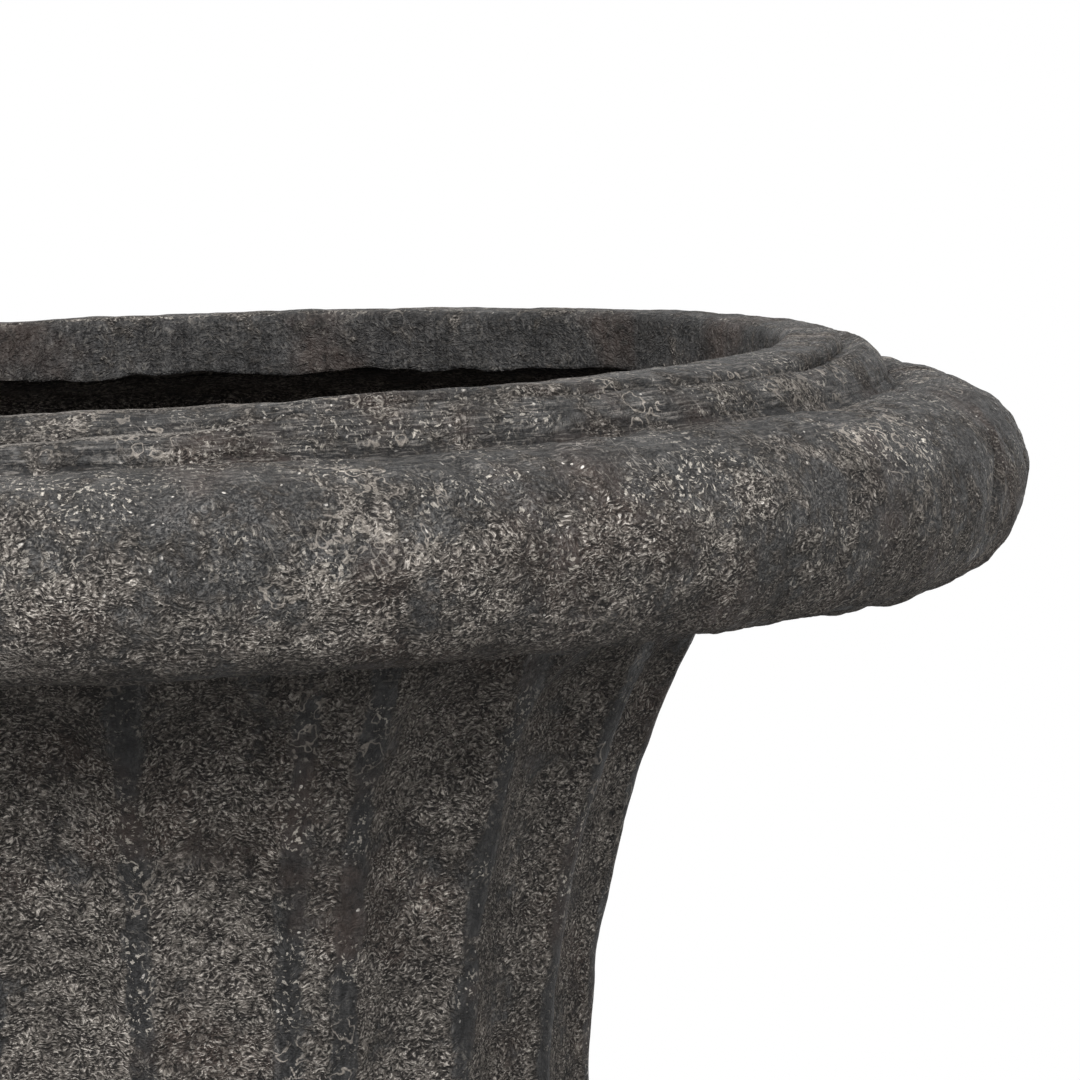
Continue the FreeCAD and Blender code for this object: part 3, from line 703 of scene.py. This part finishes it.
fluted = cut_radius()
gap = np.abs(fluted - plain_radius)
rounding = np.clip(ridge_softness - gap, 0, None) ** 2 / (4 * ridge_softness)
fluted_radius = np.minimum(fluted, plain_radius) - rounding
off_ridge = (np.abs(off_middle) - math.radians(flute_pitch / 2)) * plain_radius
ridge_band = np.exp(-(off_ridge / ridge_width) ** 4)
scale = np.where(neck_outside, fluted_radius / neck_out, 1.0)
neck_points[:, :2] *= scale[:, None]
put_back(neck, neck_points)
hand_pressed(neck, dents=2.2 * mm, lumps=0.8 * mm)
keep_wear_and_painted_light(
    neck,
    wash=np.where(neck_outside, 0.95 - 0.95 * ridge_band, 0.8),
    smooth=neck_outside * ridge_band,
    specks=neck_outside * (0.3 + 0.3 * ridge_band),
)
bowl_piece(neck)


# ---- lower bowl -----------------------------------------------------------------------------
# Under the waist: a half-round ring, then the bowl itself with twenty gadroons that swell and
# run in to the foot. Its flat floor has the rod's way in the middle and a drain hole beside it.

floor_under = 242 * mm
floor_top = 262 * mm
seat_radius = 64 * mm
rod_hole = 7 * mm
drain_offset = 29 * mm
drain_radius = 7.5 * mm
bulge_middle = (138 * mm, rim_top - 366.5 * mm)
bulge_curve = 48 * mm
bulge_finish = -38.0
under_curve = 155 * mm
bowl_wall = 17 * mm
ring_middle = (147.06 * mm, ring_top - 8.5 * mm)
ring_curve = 9 * mm
ring_bore = 128.9 * mm
ring_lap = 2 * mm
gadroons = 20
groove_depth = 5 * mm
bowl_steps = 720
under_middle = (
    bulge_middle[0] + (bulge_curve - under_curve) * math.cos(math.radians(bulge_finish)),
    bulge_middle[1] + (bulge_curve - under_curve) * math.sin(math.radians(bulge_finish)),
)


def angle_at(radius, reach):
    """The angle below the level at which the wide arc under the bulge is this far out."""
    return -math.degrees(math.acos((reach - under_middle[0]) / radius))


inner_under = under_curve - bowl_wall
floor_reach = under_middle[0] + math.sqrt(inner_under ** 2 - (under_middle[1] - floor_top) ** 2)
lower_bowl = turned_ring("lower_bowl", [
    (147 * mm, ring_top + ring_lap),
    *arc(ring_middle, ring_curve, 71, -71, 1.6 * mm),
    *arc(bulge_middle, bulge_curve, 68, bulge_finish, 2.4 * mm),
    *arc(under_middle, under_curve, bulge_finish, angle_at(under_curve, seat_radius), 2.6 * mm),
    *straight((seat_radius, floor_under), (rod_hole, floor_under), 6 * mm),
    *straight((rod_hole, floor_top), (floor_reach, floor_top), 5 * mm),
    *arc(under_middle, inner_under, angle_at(inner_under, floor_reach), bulge_finish, 7 * mm),
    *arc(bulge_middle, bulge_curve - bowl_wall, bulge_finish, 62, 7 * mm),
    (ring_bore, ring_top - 9 * mm),
    (ring_bore, ring_top + ring_lap),
], bowl_steps)


def round_bowl(piece):
    """The bowl's vertices, each one's distance from the axis and from the middles of the
    bulge's arc and the wide arc under it, and how far it is from a groove (0 in it, 1 on the
    gadroon's back)."""
    points, out = places(piece)
    bulge = np.hypot(out - bulge_middle[0], points[:, 2] - bulge_middle[1])
    under = np.hypot(out - under_middle[0], points[:, 2] - under_middle[1])
    return points, out, bulge, under, np.abs(np.sin(round_axis(points) * gadroons / 2))


bowl_points, bowl_out, bulge_out, under_out, share = round_bowl(lower_bowl)
on_skin = (np.abs(bulge_out - bulge_curve) < 2 * mm) | (np.abs(under_out - under_curve) < 2 * mm)
on_skin = on_skin & (bowl_points[:, 2] < rim_top - 319 * mm) & (bowl_out > 70 * mm)
swell = 1 - np.power(share, 0.42)
fade = ramp(bowl_points[:, 2], rim_top - 320 * mm, rim_top - 340 * mm)
fade = fade * ramp(bowl_out, 68 * mm, 95 * mm) * on_skin
sink = groove_depth * swell * fade
inward = np.stack([bowl_points[:, 0], bowl_points[:, 1],
                   (bowl_points[:, 2] - under_middle[1])], axis=1)
inward /= np.linalg.norm(inward, axis=1)[:, None]
bowl_points -= inward * sink[:, None]
put_back(lower_bowl, bowl_points)


def combine(piece, other, operation):
    """Joins another solid to the piece or cuts it away, and drops the other solid."""
    bpy.context.view_layer.objects.active = piece
    step = piece.modifiers.new(operation, "BOOLEAN")
    step.operation = operation
    step.solver = "EXACT"
    step.object = other
    bpy.ops.object.modifier_apply(modifier=step.name)
    bpy.data.objects.remove(other)


def drilled_through(piece, radius, place, low, high):
    """A round hole cut with a cylinder, as a core drill does."""
    bpy.ops.object.select_all(action="DESELECT")
    bpy.ops.mesh.primitive_cylinder_add(radius=radius, depth=high - low, vertices=48,
                                        location=(*place, (high + low) / 2))
    combine(piece, bpy.context.object, "DIFFERENCE")


hand_pressed(lower_bowl, wobble=2 * mm, dents=1.2 * mm, lumps=0.7 * mm)
drilled_through(lower_bowl, drain_radius, (drain_offset, 0), floor_under - 9 * mm,
                floor_top + 9 * mm)
bowl_points, bowl_out, bulge_out, under_out, share = round_bowl(lower_bowl)
outside = np.where(bowl_points[:, 2] > bulge_middle[1] - 29 * mm,
                   bulge_out > bulge_curve - 8 * mm, under_out > under_curve - 8 * mm)
outside = outside & (bowl_out > 62 * mm)
keep_wear_and_painted_light(
    lower_bowl,
    wash=np.where(outside, 0.2 + 0.6 * ramp(share, 0.1, 0.6), 0.7),
    smooth=outside * ramp(share, 0.5, 0.1) * 0.8,
    specks=0.35,
)
bowl_piece(lower_bowl)


# ---- pedestal -------------------------------------------------------------------------------
# Stem, round foot and square plinth, cast hollow in one piece in the same stone as the bowl and
# bedded under it on a rubber ring. Its arrises are soft and chipped from handling.

pedestal_low, pedestal_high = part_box("pedestal")
plinth_half = 155 * mm
plinth_top = 76 * mm
foot_radius = 126 * mm
foot_curve = 12.5 * mm
flare_radius = 122 * mm
flare_height = 106 * mm
stem_radius = 60 * mm
stem_height = 218 * mm
stem_curve = 132 * mm
collar_radius = 66 * mm
collar_curve = 8.5 * mm
bore_radius = 42 * mm
ledge_height = 130 * mm
foot_top = 100 * mm
cut_past = 5 * mm
cavity_roof = 64 * mm
cavity_radius = 128 * mm
pedestal_voxel = 2.6 * mm


def circle_through(start, finish, radius):
    """The middle of an arc that is hollow outwards between two points of the stem."""
    half = math.dist(start, finish) / 2
    reach = math.sqrt(radius ** 2 - half ** 2)
    across = ((finish[1] - start[1]) / (2 * half), -(finish[0] - start[0]) / (2 * half))
    side = 1 if across[0] > 0 else -1
    return ((start[0] + finish[0]) / 2 + side * reach * across[0],
            (start[1] + finish[1]) / 2 + side * reach * across[1])


def angle_from(middle, point):
    return math.degrees(math.atan2(point[1] - middle[1], point[0] - middle[0])) % 360


stem_top = (stem_radius, stem_height)
stem_foot = (flare_radius, flare_height)
stem_middle = circle_through(stem_top, stem_foot, stem_curve)
collar_low = pedestal_high.z - 2 * 8 * mm
stem = turned_ring("stem_blank", [
    (0, pedestal_high.z),
    (collar_radius, pedestal_high.z),
    *arc((collar_radius - 2.87 * mm, pedestal_high.z - 8 * mm), collar_curve, 70, -70),
    (collar_radius, collar_low),
    *arc(stem_middle, stem_curve, angle_from(stem_middle, stem_top),
         angle_from(stem_middle, stem_foot)),
    (flare_radius, foot_top),
    *arc((foot_radius, plinth_top + 12 * mm), foot_curve, 82, -82),
    (foot_radius, plinth_top - 4 * mm),
    (0, plinth_top - 4 * mm),
], 180)

bpy.ops.object.select_all(action="DESELECT")
bpy.ops.mesh.primitive_cube_add(size=1, location=(0, 0, (plinth_top + pedestal_low.z) / 2))
pedestal = bpy.context.object
pedestal.name = "pedestal_stone"
bpy.ops.transform.resize(value=(2 * plinth_half, 2 * plinth_half, plinth_top - pedestal_low.z))
bpy.ops.object.transform_apply(location=True, rotation=True, scale=True)
bpy.ops.object.mode_set(mode="EDIT")
bpy.ops.mesh.select_all(action="SELECT")
bpy.ops.mesh.bevel(offset=4 * mm, segments=2, affect="EDGES")
bpy.ops.object.mode_set(mode="OBJECT")

cavity = turned_ring("cavity_blank", [
    (0, pedestal_high.z + cut_past),
    (bore_radius, pedestal_high.z + cut_past),
    (bore_radius, ledge_height),
    (74 * mm, ledge_height),
    (114 * mm, cavity_roof),
    (cavity_radius, cavity_roof),
    (cavity_radius, -cut_past),
    (0, -cut_past),
], 96)


combine(pedestal, stem, "UNION")
combine(pedestal, cavity, "DIFFERENCE")
softened = pedestal.modifiers.new("softened", "REMESH")
softened.mode = "VOXEL"
softened.voxel_size = pedestal_voxel
softened.use_smooth_shade = True
bpy.ops.object.modifier_apply(modifier=softened.name)
worn = pedestal.modifiers.new("worn", "SMOOTH")
worn.factor = 0.5
worn.iterations = 3
bpy.ops.object.modifier_apply(modifier=worn.name)
hand_pressed(pedestal, wobble=2 * mm, dents=1.3 * mm, lumps=0.7 * mm)
keep_wear_and_painted_light(pedestal, wash=0.6, smooth=0.3, specks=0.4)
pedestal.data.materials.append(cast_stone("cast_clay_stone_pedestal"))
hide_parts("pedestal")
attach(pedestal, "urn")


# ---- rod, nuts, washers and bridge plate ------------------------------------------------------
# Bought-in M12 fittings: a threaded rod, two nuts and two washers in bright zinc-plated steel,
# and a hot-dip galvanised flat bar that bridges the bore from below.

rod_low, rod_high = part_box("clamp_rod")
thread_pitch = 1.75 * mm
thread_crest = 6 * mm
thread_root = 5.05 * mm


def zinc_plate(name):
    """Electroplated zinc on steel: a pale, slightly blue metal with a soft shine, a little
    cloudy over 5 to 10 mm where rain has dulled it."""
    material, tree = new_material(name)
    place = add_node(tree, "ShaderNodeTexCoord").outputs["Object"]
    cloud = add_node(tree, "ShaderNodeTexNoise", {"Vector": place, "Scale": 140.0, "Detail": 4.0})
    tone = add_node(tree, "ShaderNodeMix", {
        0: cloud.outputs[0], 6: colour("#9aa0a4"), 7: colour("#c3c7c9"),
    }, data_type="RGBA")
    dull = add_node(tree, "ShaderNodeMapRange", {
        "Value": cloud.outputs[0], "To Min": 0.28, "To Max": 0.55,
    })
    shader = add_node(tree, "ShaderNodeBsdfPrincipled", {
        "Base Color": tone.outputs[2], "Metallic": 1.0, "Roughness": dull.outputs[0],
    })
    add_node(tree, "ShaderNodeOutputMaterial", {"Surface": shader.outputs[0]})
    return material


def spangled_zinc(name):
    """Hot-dip galvanised steel: grey zinc crystals of 4 to 8 mm, each a little lighter or
    darker than the next."""
    material, tree = new_material(name)
    place = add_node(tree, "ShaderNodeTexCoord").outputs["Object"]
    crystals = add_node(tree, "ShaderNodeTexVoronoi", {"Vector": place, "Scale": 170.0})
    shade = add_node(tree, "ShaderNodeSeparateColor", {0: crystals.outputs["Color"]})
    tone = add_node(tree, "ShaderNodeMix", {
        0: shade.outputs[0], 6: colour("#85898c"), 7: colour("#a9adb0"),
    }, data_type="RGBA")
    dull = add_node(tree, "ShaderNodeMapRange", {
        "Value": shade.outputs[1], "To Min": 0.38, "To Max": 0.6,
    })
    shader = add_node(tree, "ShaderNodeBsdfPrincipled", {
        "Base Color": tone.outputs[2], "Metallic": 1.0, "Roughness": dull.outputs[0],
    })
    add_node(tree, "ShaderNodeOutputMaterial", {"Surface": shader.outputs[0]})
    return material


def finish_node(name, material):
    """A CAD node that is shown as it is gets its finish here."""
    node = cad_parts[name]
    node.data.materials.clear()
    node.data.materials.append(material)


turns = int((rod_high.z - rod_low.z) / thread_pitch)
thread_line = []
for turn in range(turns):
    crest_level = rod_high.z - (turn + 0.5) * thread_pitch
    thread_line += [(thread_root, crest_level + thread_pitch * 0.44),
                    (thread_crest, crest_level + thread_pitch * 0.06),
                    (thread_crest, crest_level - thread_pitch * 0.06)]
zinc = zinc_plate("zinc_plated_steel")
rod = turned_ring("threaded_rod", [
    (0, rod_high.z), (thread_root, rod_high.z), *thread_line,
    (thread_root, rod_low.z), (0, rod_low.z),
], 40)
rod.data.materials.append(zinc)
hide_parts("clamp_rod")
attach(rod, "urn")
for fitting in ("upper_washer", "upper_nut", "lower_washer", "lower_nut"):
    finish_node(fitting, zinc)
finish_node("bridge_plate", spangled_zinc("galvanised_steel"))


# ---- rubber: joint ring, seal, plug and pads --------------------------------------------------
# Moulded and punched black rubber: the ring that beds the bowl on the stem, the seal under the
# washer, the pull-out drain plug and the four pads under the plinth.

def black_rubber(name, bloom, grain):
    """Carbon-black rubber, matt, with a grey bloom in the patches that hands rub most."""
    material, tree = new_material(name)
    place = add_node(tree, "ShaderNodeTexCoord").outputs["Object"]
    rubbed = add_node(tree, "ShaderNodeTexNoise", {"Vector": place, "Scale": 90.0, "Detail": 3.0})
    tone = add_node(tree, "ShaderNodeMix", {
        0: rubbed.outputs[0], 6: colour("#1c1c1d"), 7: colour(bloom),
    }, data_type="RGBA")
    pores = add_node(tree, "ShaderNodeTexNoise", {"Vector": place, "Scale": grain, "Detail": 2.0})
    relief = add_node(tree, "ShaderNodeBump", {
        "Height": pores.outputs[0], "Strength": 0.4, "Distance": 0.2 * mm,
    })
    dull = add_node(tree, "ShaderNodeMapRange", {
        "Value": rubbed.outputs[0], "To Min": 0.5, "To Max": 0.8,
    })
    shader = add_node(tree, "ShaderNodeBsdfPrincipled", {
        "Base Color": tone.outputs[2], "Roughness": dull.outputs[0], "Normal": relief.outputs[0],
    })
    add_node(tree, "ShaderNodeOutputMaterial", {"Surface": shader.outputs[0]})
    return material


punched_rubber = black_rubber("punched_sheet_rubber", "#34342f", 900.0)
finish_node("joint_gasket", punched_rubber)
finish_node("seal_washer", punched_rubber)
finish_node("drain_plug", black_rubber("moulded_plug_rubber", "#3b3b3c", 1500.0))
finish_node("foot_pads", black_rubber("moulded_pad_rubber", "#3a3936", 1100.0))
